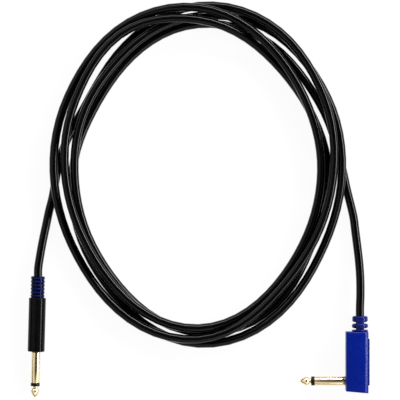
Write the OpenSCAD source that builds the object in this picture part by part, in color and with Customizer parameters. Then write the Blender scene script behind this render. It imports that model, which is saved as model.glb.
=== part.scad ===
// Instrument cable: a coiled cord of two-conductor screened cable with a straight jack plug on one
// end and a right-angle jack plug on the other, lying on a flat surface at Z = 0.
// Millimetres, +Z up. The origin is under the middle of the box round the two plugs.
// Each plug is modelled along its own +Z, with Z = 0 on the face that its prong stands out of.

/* [Cable] */
// Outside diameter of the cable
cable_d = 6; // [5.5:0.1:6.2]
// Wall of the cable's jacket
jacket_wall = 1; // [0.6:0.1:1.2]
// Diameter of the insulation round the centre conductor
core_sheath_d = 3; // [2:0.1:3.4]
// Diameter of the centre conductor
core_wire_d = 0.9; // [0.5:0.1:1.2]
// Diameter of the screen where it is twisted into a tail
shield_tail_d = 1.2; // [0.6:0.1:1.4]

/* [Coil] */
// Distance between the places where the cable enters the two plugs
plug_spacing = 225.3; // [223:0.1:227]
// Mean radius of the coil's oval
coil_r = 101.5; // [101:0.5:110]
// How much longer than wide the oval is, as an addition to the radius on its long axis
coil_long = 9; // [8.5:0.5:9.5]
// How far the oval's four corners stand out
coil_square = 2; // [1.5:0.5:2.5]

/* [Prong] */
// Diameter of the sleeve, the insulating ring and the standard jack
sleeve_d = 6.35; // [6.1:0.05:7]
// Length of the sleeve outside the plug's body
sleeve_l = 21.8; // [18:0.1:26]
// Bore through the sleeve
sleeve_bore = 4.2; // [3.4:0.1:5]
// Width of the insulating ring
ring_w = 2.3; // [1.5:0.1:4]
// Length of the tip in front of the ring
tip_l = 7.9; // [6:0.1:10]
// Greatest diameter of the tip
tip_d = 6.2; // [5.4:0.1:6.4]
// Diameter of the tip's neck
neck_d = 3.4; // [3.2:0.1:5.2]
// Length of the tip's neck
neck_l = 1.5; // [0.6:0.1:2]
// How round the nose is: 0 is a straight cone, 1 is a half ellipse
nose_round = 0.55; // [0:0.05:1]
// Diameter of the rod that joins the tip to its lug
rod_d = 2.2; // [1.6:0.1:2.6]
// How deep the rod sits in the tip
tip_socket = 3; // [1:0.1:5]

/* [Prong inside the body] */
// Diameter of the sleeve's flange
flange_d = 8.6; // [7.5:0.1:9.2]
// Thickness of the flange
flange_t = 1.5; // [0.8:0.1:2]
// Diameter of the sleeve's shank, inside the body
shank_d = 6; // [5.4:0.1:6.3]
// Length of the shank behind the flange
shank_l = 4; // [2.5:0.1:4.6]
// Thickness of the insulating washer
washer_t = 1; // [0.6:0.1:1.6]
// Thickness of both lugs
lug_t = 0.6; // [0.4:0.1:0.8]
// Width of both lugs
lug_w = 2.4; // [1.6:0.1:3]
// Outside diameter of the tip lug's ring
tip_lug_d = 4.6; // [3.8:0.1:6]
// Length of the rod's riveted end behind the tip lug
rivet_l = 0.5; // [0.3:0.1:0.8]
// Radius of the solder joints
solder_r = 1.3; // [1:0.1:1.5]

/* [Straight plug] */
// Diameter of the barrel
barrel_d = 11.9; // [11:0.1:14]
// Length of the barrel
barrel_l = 37.8; // [36:0.1:44]
// Thickness of the barrel's front wall
barrel_front = 2; // [1:0.1:3]
// Radius of the barrel's front corner
barrel_round = 0.8; // [0.4:0.1:1.4]
// Chamfer at the barrel's rear edge
barrel_chamfer = 0.4; // [0.2:0.1:0.6]
// Wall of the inner moulding round the terminals
mould_wall = 0.6; // [0.4:0.1:0.8]
// Diameter of the boot
straight_boot_d = 10; // [9:0.1:11]
// Length of the boot behind the barrel
straight_boot_l = 15; // [12:0.1:20]
// How far the boot's shank reaches into the barrel
straight_shank_l = 6; // [3:0.1:8]
// Number of grooves round the boot
groove_count = 5; // [2:1:6]
// Width of each groove
groove_w = 1.2; // [0.6:0.1:1.6]
// Depth of each groove
groove_depth = 0.4; // [0.2:0.1:1.4]
// Angle by which the plug is turned from square, with its tip outwards
straight_tilt = 1.5; // [0:0.1:3]

/* [Right-angle plug] */
// Width of the housing, along the prong
housing_w = 15.7; // [15.5:0.1:18]
// Length of the housing on the prong's side
housing_l = 41.6; // [40:0.1:46]
// Thickness of the housing
housing_t = 14; // [13.5:0.1:18]
// Wall of the housing on the prong's side and at both ends
housing_wall = 2; // [1.6:0.1:2.4]
// Wall of the housing under and over the terminals
housing_skin = 2.2; // [1.6:0.1:2.5]
// How much longer the housing is on the side away from the prong
housing_slant = 1.4; // [0:0.1:3]
// Width of the bevel beside the side plate
bevel_w = 2.3; // [0.5:0.1:2.6]
// Depth of the bevel beside the side plate
bevel_depth = 1.5; // [0.5:0.1:1.7]
// Length of the bevels over and under the housing's cable end
end_bevel_l = 0.9; // [0.4:0.1:1.4]
// Depth of those bevels
end_bevel_depth = 0.6; // [0.3:0.1:1]
// Distance from the prong's axis to the housing's lower end
prong_end = 7; // [6.5:0.1:8]
// Distance from the prong's face to the cable's axis
cable_offset = 10; // [9.6:0.1:10.6]
// Length of the side plate
plate_l = 32.5; // [28:0.1:34]
// Width of the side plate
plate_w = 10; // [8:0.1:11]
// How far the side plate stands out
plate_t = 0.8; // [0.6:0.1:1.6]
// Distance from the housing's cable end to the side plate
plate_end = 5; // [4:0.1:6]
// How far the plate's flange overlaps its opening all round
plate_lap = 1; // [0.6:0.1:1.4]
// How deep the plate's rim reaches into its opening
plate_rim = 1.2; // [0.6:0.1:1.8]
// Diameter of the two discs of the strain relief that are nearest to the housing
disc_d = 11.4; // [10:0.1:12.5]
// Diameter of the end disc of the strain relief
end_disc_d = 10.9; // [10:0.1:12.5]
// Thickness of the disc next to the housing
first_disc_t = 1.3; // [0.8:0.1:2]
// Thickness of the middle disc
middle_disc_t = 3.3; // [2:0.1:4]
// Thickness of the end disc
end_disc_t = 4.3; // [3:0.1:5]
// Gap between two discs
disc_gap = 1; // [0.6:0.1:1.6]
// Diameter over the two ribs that join the discs, over and under the cable
rib_d = 10; // [8:0.1:10]
// Width of those ribs
rib_w = 4; // [2.5:0.1:5]
// Diameter of the strain relief's shank
relief_shank_d = 7.6; // [7.4:0.1:9]
// How far the strain relief's shank reaches into the housing
relief_shank_l = 4; // [2.5:0.1:5]

/* [Wiring] */
// How far the jacket reaches past the strain relief's shank inside each plug
jacket_past = 2; // [1:0.1:3]
// How far the core's insulation reaches past the jacket
sheath_past = 5; // [4:0.1:6]
// How far the bare conductor reaches past its insulation
wire_past = 4; // [3.4:0.1:5]
// How far the screen stays a tube past the jacket, before it is a tail
shield_past = 1; // [0.5:0.1:2]

/* [Fits] */
// Clearance on the radius between pieces that sit in one another
fit = 0.05; // [0.02:0.01:0.1]
// Clearance between the terminals and what they pass
lug_gap = 0.2; // [0.1:0.05:0.3]

/* [Hidden] */
$fn = 64;

gold = [0.86, 0.72, 0.42];
steel = [0.62, 0.62, 0.64];
tin = [0.78, 0.78, 0.8];
copper = [0.75, 0.45, 0.28];
royal_blue = [0.03, 0.12, 0.55];
boot_blue = [0.1, 0.1, 0.42];
black = [0.06, 0.06, 0.07];
white = [0.9, 0.9, 0.88];

// Cut-outs run this far past the faces they open.
over = 1;

// ---- The prong, along its own +Z --------------------------------------------------------------

rod_r = rod_d / 2;
rod_bore_r = rod_r + fit;
ring_z = sleeve_l + ring_w;

// The greatest radius lies a third of the way from the neck to the nose.
crown_z = neck_l + (tip_l - neck_l) / 3;

// The tip's outline, from the neck over the crown to the nose.
tip_outline = concat(
    [for (a = [0 : 15 : 90])
        [neck_d / 2 + (tip_d - neck_d) / 2 * sin(a), neck_l + (crown_z - neck_l) * (1 - cos(a))]],
    [for (a = [15 : 15 : 75])
        [tip_d / 2 * (nose_round * cos(a) + (1 - nose_round) * (1 - sin(a))),
         crown_z + (tip_l - crown_z) * sin(a)]]
);

module prong_tip() {
    translate([0, 0, ring_z])
        difference() {
            rotate_extrude()
                polygon(concat([[0, 0], [neck_d / 2, 0]], tip_outline, [[0, tip_l]]));
            translate([0, 0, -over])
                cylinder(r = rod_bore_r, h = over + tip_socket);
        }
}

module prong_ring() {
    translate([0, 0, sleeve_l])
        tube(sleeve_d / 2, rod_bore_r, ring_w);
}

// The sleeve's shank passes through the body's front wall and is held behind it by the flange.
module prong_sleeve(wall) {
    difference() {
        union() {
            cylinder(d = sleeve_d, h = sleeve_l);
            translate([0, 0, -wall - flange_t])
                cylinder(d = flange_d, h = flange_t);
            translate([0, 0, shank_z(wall)])
                cylinder(d = shank_d, h = over - shank_z(wall));
        }
        translate([0, 0, shank_z(wall) - over])
            cylinder(d = sleeve_bore, h = sleeve_l + abs(shank_z(wall)) + 2 * over);
    }
}

function shank_z(wall) = -wall - flange_t - shank_l;
function tip_lug_z(wall) = shank_z(wall) - washer_t - lug_t;
function rod_z(wall) = tip_lug_z(wall) - rivet_l;

module prong_core_insulator(wall) {
    translate([0, 0, shank_z(wall)])
        tube(sleeve_bore / 2 - fit, rod_bore_r, sleeve_l - shank_z(wall));
}

module prong_rod(wall) {
    translate([0, 0, rod_z(wall)])
        cylinder(r = rod_r, h = ring_z + tip_socket - fit - rod_z(wall));
}

module prong_washer(wall) {
    translate([0, 0, shank_z(wall) - washer_t])
        tube(shank_d / 2, rod_bore_r, washer_t);
}

// ---- Terminals, in the prong's own frame with the cable on the -Y or +Y side -------------------

// The ground lug's strap passes the shank and the washer.
strap_in = shank_d / 2 + lug_gap;
strap_out = strap_in + lug_t;
// Radius of the room that the terminals need round the prong's axis.
terminal_r = norm([strap_out, lug_w / 2]) + lug_gap;

module ground_ring(wall) {
    translate([0, 0, -wall - flange_t - lug_t])
        tube(strap_out, shank_d / 2 + fit, lug_t);
}

module tip_lug_ring(wall) {
    translate([0, 0, tip_lug_z(wall)])
        tube(tip_lug_d / 2, rod_bore_r, lug_t);
}

// A flat bar of the lugs' width, from y0 to y1 and from z0 to z1.
module bar(y0, y1, z0, z1) {
    translate([-lug_w / 2, min(y0, y1), min(z0, z1)])
        cube([lug_w, abs(y1 - y0), abs(z1 - z0)]);
}

// ---- Cable ends, along their own +Z from the mouth of the strain relief into the plug ----------

sheath_r = core_sheath_d / 2;
wire_r = core_wire_d / 2;
tail_r = shield_tail_d / 2;
jacket_bore_r = cable_d / 2 - jacket_wall;
shield_in_r = sheath_r + fit;
shield_out_r = jacket_bore_r - fit;
// The tail lies beside the core's insulation.
tail_y = sheath_r + fit + tail_r;

module jacket_piece(length) {
    tube(cable_d / 2, jacket_bore_r, length);
}

module shield_piece(length, tail_l, side) {
    tube(shield_out_r, shield_in_r, length + shield_past);
    translate([0, side * tail_y, length])
        difference() {
            cylinder(r = tail_r, h = tail_l);
            translate([0, -side * tail_y, -over])
                cylinder(r = shield_in_r, h = tail_l + 2 * over);
        }
}

module sheath_piece(length) {
    tube(sheath_r, wire_r + fit, length);
}

module wire_piece(length) {
    cylinder(r = wire_r, h = length, $fn = 32);
}

// ---- Straight plug ----------------------------------------------------------------------------

straight_mouth_z = -barrel_l - straight_boot_l;
straight_jacket_l = straight_boot_l + straight_shank_l + jacket_past;
straight_sheath_l = straight_jacket_l + sheath_past;
straight_wire_l = straight_sheath_l + wire_past;
straight_solder_z = straight_mouth_z + straight_wire_l - solder_r;
// Both straps reach back over the end of the stripped wire.
straight_strap_z = straight_mouth_z + straight_sheath_l + lug_gap;

mould_out_r = terminal_r + mould_wall;
barrel_bore_r = mould_out_r + fit;
mould_front_z = -barrel_front - flange_t;
boot_shank_z = -barrel_l + straight_shank_l;

module straight_tip() {
    color(gold) on_straight() prong_tip();
}

module straight_tip_ring() {
    color(black) on_straight() prong_ring();
}

module straight_sleeve() {
    color(gold) on_straight() prong_sleeve(barrel_front);
}

module straight_core_insulator() {
    color(black) on_straight() prong_core_insulator(barrel_front);
}

module straight_tip_rod() {
    color(steel) on_straight() prong_rod(barrel_front);
}

module straight_rear_washer() {
    color(black) on_straight() prong_washer(barrel_front);
}

// The tongue steps in behind the rod so that it lies on the bare conductor.
straight_tongue_y = wire_r + fit;

module straight_tip_lug() {
    step_z = rod_z(barrel_front) - lug_gap;
    color(tin) on_straight() {
        tip_lug_ring(barrel_front);
        bar(tip_lug_d / 2 - lug_t, tip_lug_d / 2, tip_lug_z(barrel_front) + lug_t, step_z - lug_t);
        bar(straight_tongue_y, tip_lug_d / 2, step_z, step_z - lug_t);
        bar(straight_tongue_y, straight_tongue_y + lug_t, step_z, straight_strap_z);
    }
}

module straight_ground_lug() {
    color(tin) on_straight() {
        ground_ring(barrel_front);
        bar(-strap_out, -strap_in, -barrel_front - flange_t, straight_strap_z);
    }
}

module straight_inner_mould() {
    color(white) on_straight()
        translate([0, 0, boot_shank_z])
            tube(mould_out_r, terminal_r, mould_front_z - boot_shank_z);
}

module straight_barrel() {
    color(black) on_straight()
        difference() {
            translate([0, 0, -barrel_l])
                rotate_extrude()
                    polygon(concat(
                        [[0, 0], [barrel_d / 2 - barrel_chamfer, 0], [barrel_d / 2, barrel_chamfer]],
                        [for (a = [0 : 15 : 90])
                            [barrel_d / 2 - barrel_round * (1 - cos(a)),
                             barrel_l - barrel_round * (1 - sin(a))]],
                        [[0, barrel_l]]
                    ));
            translate([0, 0, -barrel_l - over])
                cylinder(r = barrel_bore_r, h = barrel_l - barrel_front + over);
            translate([0, 0, -barrel_front - over])
                cylinder(r = shank_d / 2 + fit, h = barrel_front + 2 * over);
        }
}

module straight_boot() {
    pitch = straight_boot_l / (groove_count + 1);
    color(boot_blue) on_straight()
        difference() {
            union() {
                translate([0, 0, straight_mouth_z])
                    cylinder(d = straight_boot_d, h = straight_boot_l);
                translate([0, 0, -barrel_l - over])
                    cylinder(r = barrel_bore_r - fit, h = straight_shank_l + over);
            }
            for (i = [1 : groove_count])
                translate([0, 0, straight_mouth_z + i * pitch - groove_w / 2])
                    tube(straight_boot_d, straight_boot_d / 2 - groove_depth, groove_w);
            translate([0, 0, straight_mouth_z - over])
                cylinder(r = cable_d / 2 + fit, h = straight_boot_l + straight_shank_l + 2 * over);
        }
}

module straight_jacket_end() {
    color(black) at_straight_mouth() jacket_piece(straight_jacket_l);
}

module straight_shield() {
    color(copper) at_straight_mouth()
        shield_piece(straight_jacket_l, sheath_past + wire_past, -1);
}

module straight_core_sheath() {
    color(white) at_straight_mouth() sheath_piece(straight_sheath_l);
}

module straight_core_wire() {
    color(copper) at_straight_mouth() wire_piece(straight_wire_l);
}

// Each joint fills the corner between its wire and its lug, and is cut off flat at the lug.
module straight_core_solder() {
    color(tin) on_straight()
        difference() {
            translate([0, straight_tongue_y, straight_solder_z])
                sphere(r = solder_r, $fn = 32);
            translate([-solder_r, straight_tongue_y, straight_solder_z - solder_r])
                cube([2 * solder_r, 2 * solder_r, 2 * solder_r]);
            translate([0, 0, straight_solder_z - 2 * solder_r])
                cylinder(r = wire_r + fit / 2, h = 4 * solder_r, $fn = 32);
        }
}

module straight_ground_solder() {
    color(tin) on_straight()
        difference() {
            translate([0, -strap_in, straight_solder_z])
                sphere(r = solder_r, $fn = 32);
            translate([-solder_r, -strap_in - 2 * solder_r, straight_solder_z - solder_r])
                cube([2 * solder_r, 2 * solder_r, 2 * solder_r]);
            translate([0, -tail_y, straight_solder_z - 2 * solder_r])
                cylinder(r = tail_r + fit, h = 4 * solder_r);
        }
}

// ---- Right-angle plug -------------------------------------------------------------------------

// Its X runs along the prong away from the tip, its Y towards the cable, its Z up, and its origin
// is where the prong's axis meets the housing's face.
housing_top_y = housing_l - prong_end;
cavity_x = housing_wall;
cavity_w = housing_w - 2 * housing_wall;
cavity_y0 = -prong_end + housing_wall;
cavity_y1 = housing_top_y - housing_wall;
cavity_t = housing_t - 2 * housing_skin;
opening_y1 = housing_top_y - plate_end - plate_lap;
opening_l = plate_l - 2 * plate_lap;
opening_t = plate_w - 2 * plate_lap;
relief_l = first_disc_t + middle_disc_t + end_disc_t + 2 * disc_gap;
angle_mouth_y = housing_top_y + relief_l;
relief_shank_r = relief_shank_d / 2;
angle_jacket_l = relief_l + relief_shank_l + jacket_past;
angle_sheath_l = angle_jacket_l + sheath_past;
angle_wire_l = angle_sheath_l + wire_past;
angle_solder_y = angle_mouth_y - angle_wire_l + solder_r;
// Both lugs reach up over the end of the stripped wire.
angle_strap_y = angle_mouth_y - angle_sheath_l - lug_gap;

module angle_tip() {
    color(gold) on_angle() prong_tip();
}

module angle_tip_ring() {
    color(black) on_angle() prong_ring();
}

module angle_sleeve() {
    color(gold) on_angle() prong_sleeve(housing_wall);
}

module angle_core_insulator() {
    color(black) on_angle() prong_core_insulator(housing_wall);
}

module angle_tip_rod() {
    color(steel) on_angle() prong_rod(housing_wall);
}

module angle_rear_washer() {
    color(black) on_angle() prong_washer(housing_wall);
}

// The tongue leaves the ring flat and steps back to the bare conductor.
module angle_tip_lug() {
    ring_z0 = tip_lug_z(housing_wall);
    tongue_z = -cable_offset + wire_r + fit;
    step_y = tip_lug_d / 2 + lug_gap;
    color(tin) on_angle() {
        tip_lug_ring(housing_wall);
        bar(rod_bore_r + lug_gap, step_y + lug_t, ring_z0, ring_z0 + lug_t);
        bar(step_y, step_y + lug_t, min(ring_z0, tongue_z), max(ring_z0, tongue_z) + lug_t);
        bar(step_y, angle_strap_y, tongue_z, tongue_z + lug_t);
    }
}

module angle_ground_lug() {
    ring_z0 = -housing_wall - flange_t - lug_t;
    strap_z = -cable_offset + tail_y + tail_r + lug_gap;
    step_y = strap_out + lug_gap;
    color(tin) on_angle() {
        ground_ring(housing_wall);
        bar(strap_in, step_y + lug_t, ring_z0, ring_z0 + lug_t);
        bar(step_y, step_y + lug_t, ring_z0 + lug_t, strap_z);
        bar(step_y, angle_strap_y, strap_z, strap_z + lug_t);
    }
}

// Side outline, seen along the prong's plane, with the slanted lower end.
module housing_outline() {
    polygon([
        [0, housing_top_y],
        [0, -prong_end],
        [housing_w, -prong_end - housing_slant],
        [housing_w, housing_top_y]
    ]);
}

// End outline, with the bevels beside the side plate.
module housing_section() {
    half_t = housing_t / 2;
    polygon([
        [0, -half_t],
        [0, half_t],
        [housing_w - bevel_w, half_t],
        [housing_w, half_t - bevel_depth],
        [housing_w, -half_t + bevel_depth],
        [housing_w - bevel_w, -half_t]
    ]);
}

// Lengthwise outline, with the bevels at the cable end.
module housing_profile() {
    half_t = housing_t / 2;
    y0 = -prong_end - housing_slant;
    polygon([
        [y0, -half_t],
        [housing_top_y - end_bevel_l, -half_t],
        [housing_top_y, -half_t + end_bevel_depth],
        [housing_top_y, half_t - end_bevel_depth],
        [housing_top_y - end_bevel_l, half_t],
        [y0, half_t]
    ]);
}

module angle_housing() {
    color(royal_blue) at_housing()
        difference() {
            intersection() {
                rotate([90, 0, 90])
                    linear_extrude(housing_w)
                        housing_profile();
                translate([0, 0, -housing_t / 2])
                    linear_extrude(housing_t)
                        housing_outline();
                translate([0, housing_top_y, 0])
                    rotate([90, 0, 0])
                        linear_extrude(housing_l + housing_slant)
                            housing_section();
            }
            translate([cavity_x, cavity_y0, -cavity_t / 2])
                cube([cavity_w, cavity_y1 - cavity_y0, cavity_t]);
            translate([housing_w / 2, opening_y1 - opening_l, -opening_t / 2])
                cube([housing_w / 2 + over, opening_l, opening_t]);
            rotate([0, 90, 0])
                translate([0, 0, -over])
                    cylinder(r = shank_d / 2 + fit, h = housing_wall + 2 * over);
            translate([cable_offset, housing_top_y + over, 0])
                rotate([90, 0, 0])
                    cylinder(r = relief_shank_r + fit, h = relief_shank_l + fit + over);
        }
}

module angle_side_plate() {
    color(black) at_housing() {
        translate([housing_w, opening_y1 + plate_lap - plate_l, -plate_w / 2])
            cube([plate_t, plate_l, plate_w]);
        translate([housing_w - plate_rim, opening_y1 - opening_l + fit, -opening_t / 2 + fit])
            cube([plate_rim + plate_t / 2, opening_l - 2 * fit, opening_t - 2 * fit]);
    }
}

// Beside its ribs the strain relief is open between the discs, down to the cable's jacket.
module relief_ribs() {
    intersection() {
        cylinder(d = rib_d, h = relief_l);
        translate([-rib_d / 2, -rib_w / 2, 0])
            cube([rib_d, rib_w, relief_l]);
    }
}

module angle_boot() {
    color(royal_blue) at_angle_mouth()
        difference() {
            union() {
                cylinder(d = end_disc_d, h = end_disc_t);
                translate([0, 0, end_disc_t + disc_gap])
                    cylinder(d = disc_d, h = middle_disc_t);
                translate([0, 0, relief_l - first_disc_t])
                    cylinder(d = disc_d, h = first_disc_t);
                translate([0, 0, relief_l - first_disc_t])
                    cylinder(r = relief_shank_r, h = first_disc_t + relief_shank_l);
                relief_ribs();
            }
            translate([0, 0, -over])
                cylinder(r = cable_d / 2 + fit, h = relief_l + relief_shank_l + 2 * over);
        }
}

module angle_jacket_end() {
    color(black) at_angle_mouth() jacket_piece(angle_jacket_l);
}

module angle_shield() {
    color(copper) at_angle_mouth()
        shield_piece(angle_jacket_l, sheath_past + wire_past, -1);
}

module angle_core_sheath() {
    color(white) at_angle_mouth() sheath_piece(angle_sheath_l);
}

module angle_core_wire() {
    color(copper) at_angle_mouth() wire_piece(angle_wire_l);
}

module angle_core_solder() {
    tongue_x = cable_offset - wire_r - fit;
    color(tin) at_housing()
        difference() {
            translate([tongue_x, angle_solder_y, 0])
                sphere(r = solder_r, $fn = 32);
            translate([tongue_x - 2 * solder_r, angle_solder_y - solder_r, -solder_r])
                cube([2 * solder_r, 2 * solder_r, 2 * solder_r]);
            translate([cable_offset, angle_solder_y - 2 * solder_r, 0])
                rotate([-90, 0, 0])
                    cylinder(r = wire_r + fit / 2, h = 4 * solder_r, $fn = 32);
        }
}

module angle_ground_solder() {
    strap_x = cable_offset - tail_y - tail_r - lug_gap;
    color(tin) at_housing()
        difference() {
            translate([strap_x, angle_solder_y, 0])
                sphere(r = solder_r, $fn = 32);
            translate([strap_x - 2 * solder_r, angle_solder_y - solder_r, -solder_r])
                cube([2 * solder_r, 2 * solder_r, 2 * solder_r]);
            translate([cable_offset - tail_y, angle_solder_y - 2 * solder_r, 0])
                rotate([-90, 0, 0])
                    cylinder(r = tail_r + fit, h = 4 * solder_r);
        }
}

// ---- The cable's free run -----------------------------------------------------------------------

cable_r = cable_d / 2;
// The two mouths' shift to the right, which puts the box round the plugs over the origin.
mouth_shift = 0.35;
straight_mouth = [mouth_shift - plug_spacing / 2, 42.3, barrel_d / 2];
angle_mouth = [mouth_shift + plug_spacing / 2, 14.6, housing_t / 2];
straight_dir = [sin(straight_tilt), cos(straight_tilt), 0];
angle_dir = [0, 1, 0];

// The leads' own points, between the straight stretches at their ends.
straight_lead_points = [
    [-110.7, 58, 4.8], [-108.9, 68, 3.6], [-106.8, 78, 3], [-104.7, 88, 3]
];
angle_lead_points = [
    [108.4, 85, 3], [109.9, 74, 3.2], [111.3, 63, 4],
    [112.5, 52, 5.2], [113.2, 41, 6.4], [113.3, 30, 7]
];
straight_end_l = 12;
angle_end_l = 8;

// The coil is hand wound: it runs clockwise from 270 degrees for four and a half turns round one
// mean oval, and its strands cross. Each turn has a station every 30 degrees, from 270 to 240.
// turn_out is how far the strand lies outside the oval there, and turn_up how far it lies above
// the surface. The first and last values only set the slope at the coil's two ends.
coil_centre = [-0.2, 115.5];
station_step = 30;
first_angle = 270;
turn_out = [
    14,
    4.5, -4.5, -1.5, 6, 9.5, 5.5, 0, -1.5, -3.5, 2, 5.5, 6.5,
    6.5, 9, 10.5, 4.5, -3, -7, -8.5, -7.5, -7.5, -5.5, -4.5, -3,
    -1.5, 3, 6.5, -4, -8.5, -7, -3.5, -2, 2, -2.5, -6.5, -6.5,
    -8, -6, -5.5, -1, 7, 8, 6, 6.5, 7.5, 5.5, 0.5, -1,
    -6.5, -11, -10.5, -6.5, -1, 1.5, 7,
    26
];
turn_up = [
    0,
    0, 0, 0, 3.5, 8, 11, 10, 7, 7, 7.5, 5.5, 3,
    7, 1, 1.5, 11, 8, 7, 5.5, 3.5, 0, 6.5, 6.5, 9.5,
    9, 6.5, 7, 12, 2.5, 0, 0, 0, 0, 0, 0, 4,
    6.5, 9, 7, 3.5, 0, 4, 7, 0, 4.5, 0, 0, 0,
    0, 0, 0, 0, 0, 0, 0,
    0
];
last_angle = first_angle + station_step * (len(turn_out) - 3);

// The oval is drawn in at three sides and shifted a little towards its lower end.
coil_three = 1;
coil_low = 1.5;
function oval(a) = coil_r + coil_long * cos(2 * a) + coil_square * cos(4 * a)
    - coil_three * cos(3 * a) - coil_low * cos(a);

// A smooth curve through the stations.
function spline(p0, p1, p2, p3, t) = 0.5 * (2 * p1 + (p2 - p0) * t
    + (2 * p0 - 5 * p1 + 4 * p2 - p3) * t * t + (3 * p1 - p0 - 3 * p2 + p3) * t * t * t);
function at_station(list, a) =
    let (
        place = (a - first_angle) / station_step + 1,
        i = min(floor(place), len(list) - 3)
    )
    spline(list[i - 1], list[i], list[i + 1], list[i + 2], place - i);

// The cable's centre at angle a, counted clockwise from +Y and on from turn to turn.
function coil_point(a) =
    let (r = oval(a) + at_station(turn_out, a))
    [
        coil_centre[0] + r * sin(a),
        coil_centre[1] + r * cos(a),
        cable_r + max(0, at_station(turn_up, a))
    ];

rings_per_loop = 24;
ring_step = 360 / rings_per_loop;
coil_ring_points = [for (a = [first_angle : ring_step : last_angle]) coil_point(a)];

function unit(v) = v / norm(v);
function level(v) = unit([v[0], v[1], 0]);
slope_step = 0.5;
coil_start_dir = level(coil_point(first_angle + slope_step) - coil_point(first_angle));
coil_end_dir = level(coil_point(last_angle) - coil_point(last_angle - slope_step));
coil_start = coil_ring_points[0] - cable_d * coil_start_dir;
coil_end = coil_ring_points[len(coil_ring_points) - 1] + cable_d * coil_end_dir;

coil_path = concat([coil_start], coil_ring_points, [coil_end]);
straight_lead_path = concat(
    [straight_mouth, straight_mouth + cable_d * straight_dir],
    straight_lead_points,
    [coil_start - straight_end_l * coil_start_dir, coil_start]
);
angle_lead_path = concat(
    [coil_end, coil_end + angle_end_l * coil_end_dir],
    angle_lead_points,
    [angle_mouth + cable_d * angle_dir, angle_mouth]
);

// A round tube swept along a path. Each inner ring lies in the plane that halves its bend.
module sweep(path, radius, sides) {
    last = len(path) - 1;
    function step_dir(i) = unit(path[min(i + 1, last)] - path[min(i, last - 1)]);
    function ring_dir(i) = i == 0 ? step_dir(0) : unit(step_dir(i - 1) + step_dir(i));
    points = [
        for (i = [0 : last])
            let (
                across = level(cross(ring_dir(i), [0, 0, 1])),
                up = cross(across, ring_dir(i))
            )
            for (k = [0 : sides - 1])
                path[i] + radius * (sin(360 * k / sides) * across + cos(360 * k / sides) * up)
    ];
    sides_faces = [
        for (i = [0 : last - 1], k = [0 : sides - 1])
            let (
                a = i * sides + k,
                b = i * sides + (k + 1) % sides
            )
            each [[a, b + sides, b], [a, a + sides, b + sides]]
    ];
    near_cap = [for (k = [1 : sides - 2]) [0, k, k + 1]];
    far_cap = [for (k = [1 : sides - 2]) [last * sides, last * sides + k + 1, last * sides + k]];
    polyhedron(points, concat(sides_faces, near_cap, far_cap));
}

lead_sides = 8;
coil_sides = 6;

module cable_lead_straight() {
    color(black) sweep(straight_lead_path, cable_r, lead_sides);
}

module cable_coil() {
    color(black) sweep(coil_path, cable_r, coil_sides);
}

module cable_lead_angle() {
    color(black) sweep(angle_lead_path, cable_r, lead_sides);
}

// Least gap between two stretches of the cable, on points along the tubes' own straight steps.
// Stretches closer than 90 degrees along the cable are one bend and aren't measured.
points_per_step = 5;
gap_skip = points_per_step * rings_per_loop / 4;
cable_path = concat(
    [for (i = [0 : len(straight_lead_path) - 2]) straight_lead_path[i]],
    coil_path,
    [for (i = [1 : len(angle_lead_path) - 1]) angle_lead_path[i]]
);
cable_points = [
    for (i = [0 : len(cable_path) - 2], k = [0 : points_per_step - 1])
        cable_path[i] + (cable_path[i + 1] - cable_path[i]) * k / points_per_step
];
least_gap = min([
    for (i = [0 : len(cable_points) - 1])
        for (j = [i + gap_skip : 1 : len(cable_points) - 1])
            norm(cable_points[i] - cable_points[j])
]) - cable_d;
function length_of(path, i = 1) =
    i == len(path) ? 0 : norm(path[i] - path[i - 1]) + length_of(path, i + 1);
echo(least_gap_mm = least_gap, cable_length_mm = length_of(cable_path));

// ---- Shared shapes and places --------------------------------------------------------------------

module tube(outer_r, inner_r, length) {
    difference() {
        cylinder(r = outer_r, h = length);
        translate([0, 0, -over])
            cylinder(r = inner_r, h = length + 2 * over);
    }
}

// The straight plug's own +Z runs from the cable to the tip.
module on_straight() {
    translate(straight_mouth)
        rotate([90, 0, -straight_tilt])
            translate([0, 0, barrel_l + straight_boot_l])
                children();
}

module at_straight_mouth() {
    translate(straight_mouth)
        rotate([90, 0, -straight_tilt])
            children();
}

module at_housing() {
    translate([
        angle_mouth[0] - cable_offset,
        angle_mouth[1] - angle_mouth_y,
        angle_mouth[2]
    ])
        children();
}

// The prong's own +Z runs from the housing to the tip, and its own +Y towards the cable.
module on_angle() {
    at_housing()
        rotate([0, -90, 0])
            children();
}

// The cable's own +Z runs from the mouth into the housing, and its own -Y towards the prong.
module at_angle_mouth() {
    translate(angle_mouth)
        rotate([90, 90, 0])
            children();
}

straight_tip();
straight_tip_ring();
straight_sleeve();
straight_core_insulator();
straight_tip_rod();
straight_rear_washer();
straight_tip_lug();
straight_ground_lug();
straight_inner_mould();
straight_barrel();
straight_boot();
straight_jacket_end();
straight_shield();
straight_core_sheath();
straight_core_wire();
straight_core_solder();
straight_ground_solder();
angle_tip();
angle_tip_ring();
angle_sleeve();
angle_core_insulator();
angle_tip_rod();
angle_rear_washer();
angle_tip_lug();
angle_ground_lug();
angle_housing();
angle_side_plate();
angle_boot();
angle_jacket_end();
angle_shield();
angle_core_sheath();
angle_core_wire();
angle_core_solder();
angle_ground_solder();
cable_lead_straight();
cable_coil();
cable_lead_angle();
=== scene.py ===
"""Dresses the instrument cable: the coiled cable, a straight jack plug and a right-angle jack plug.

Sizes are in metres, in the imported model's own frame, with +Z up from the surface.
"""

import math

import bpy
from mathutils import Matrix, Vector


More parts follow.
